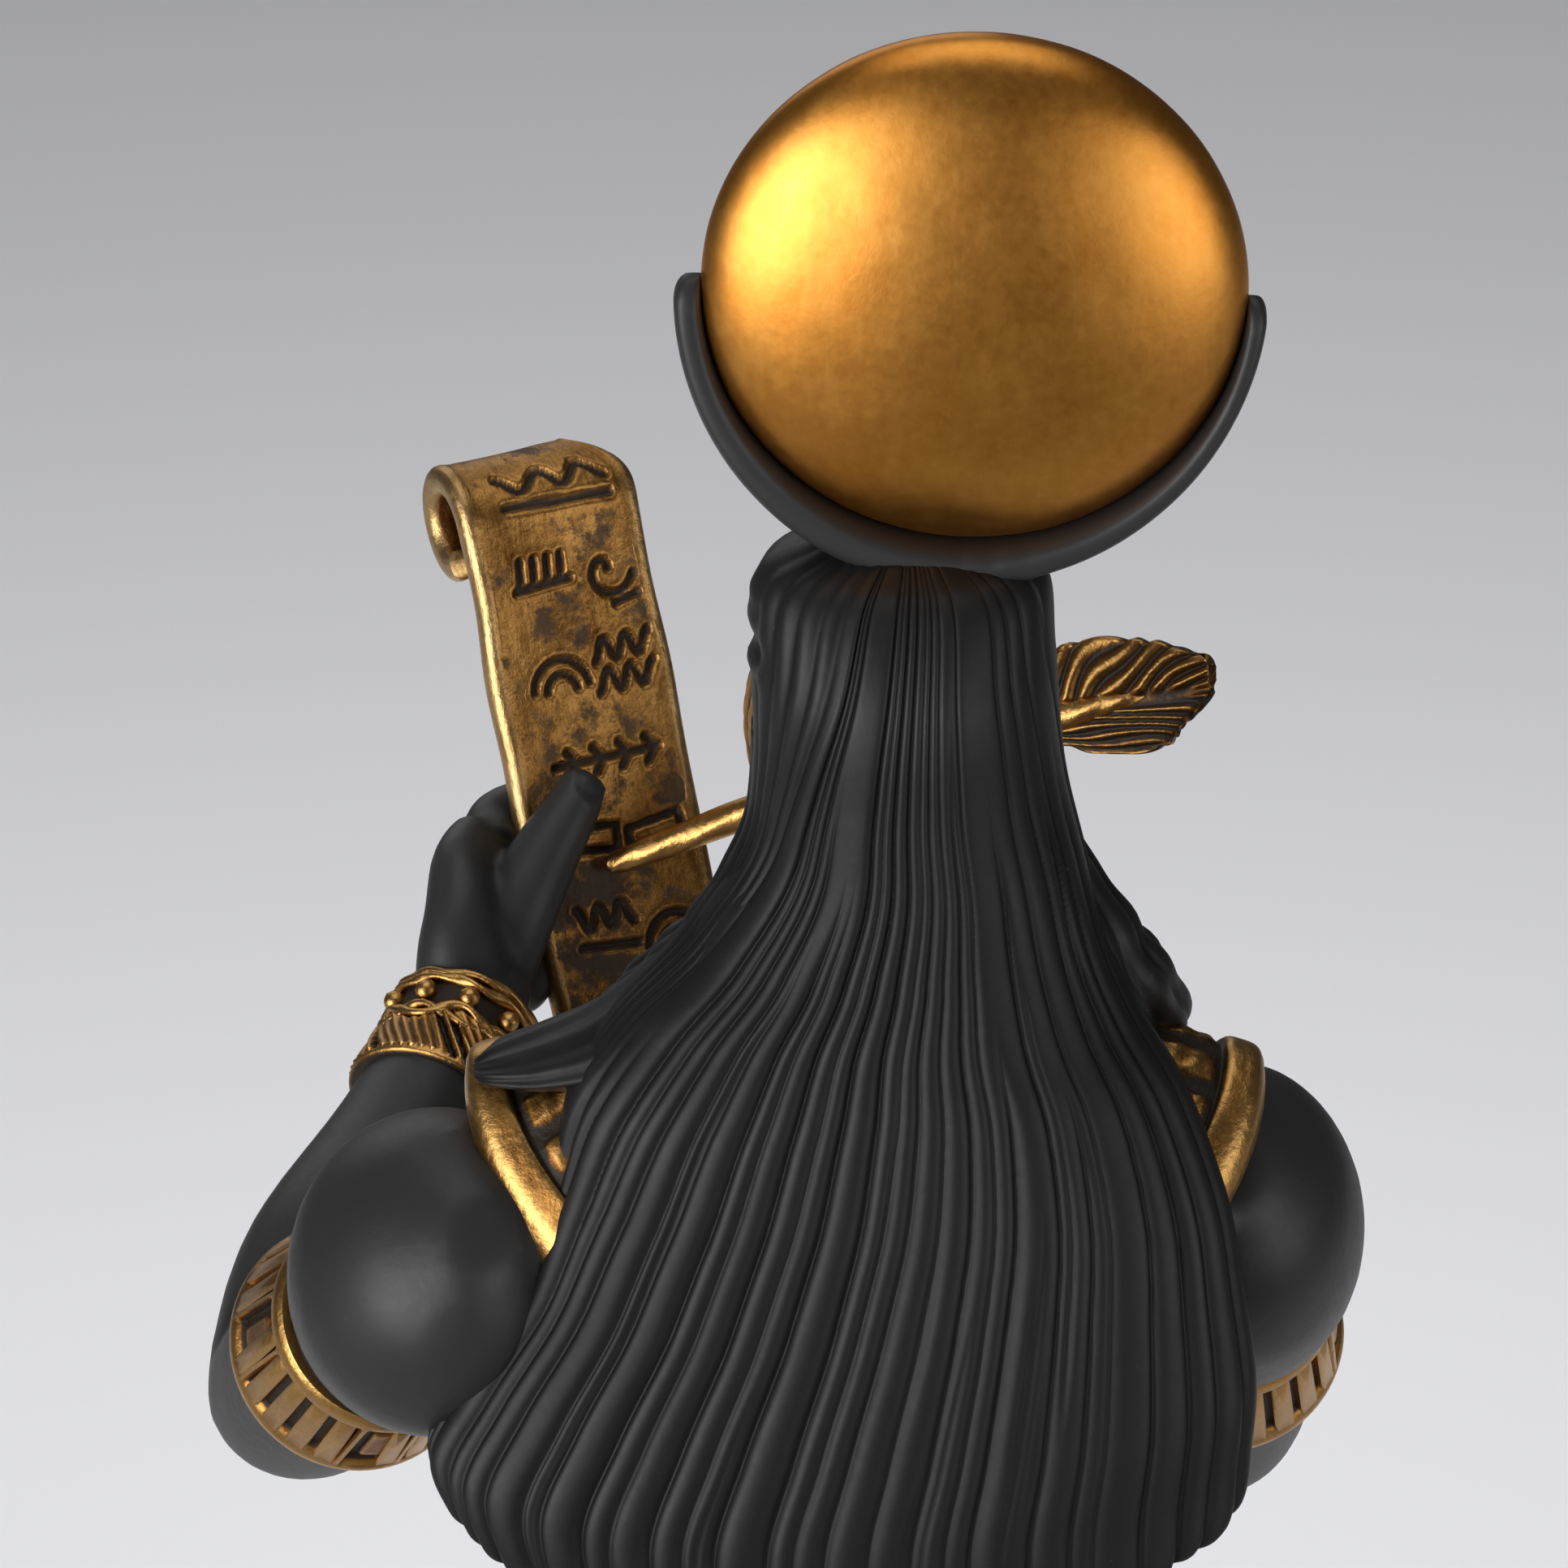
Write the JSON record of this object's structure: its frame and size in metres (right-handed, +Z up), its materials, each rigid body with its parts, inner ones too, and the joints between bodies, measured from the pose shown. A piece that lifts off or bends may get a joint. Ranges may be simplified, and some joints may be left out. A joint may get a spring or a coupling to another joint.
{
  "type": "thoth statue",
  "caption": "Resin statuette of Thoth, ibis-headed Egyptian god of writing, in black and gold with moon disc, scroll and feather pen.",
  "frame": {"origin": "centre of the base's flat underside", "axes": "+Z up to the moon disc, -Y the way the figure faces, +X to the figure's left, the side of the scroll"},
  "size_m": [0.081, 0.1186, 0.3044],
  "materials": {
    "black_resin": "matte black painted resin",
    "gold_leaf": "satin gold leaf, faintly mottled",
    "antique_gold": "brushed gold paint, black rubbed into the hollows"
  },
  "bodies": {
    "root": {"figure": "black_resin", "moon_disc": "gold_leaf", "scroll": "antique_gold", "quill_pen": "antique_gold", "base": "black_resin"}
  },
  "joints": []
}
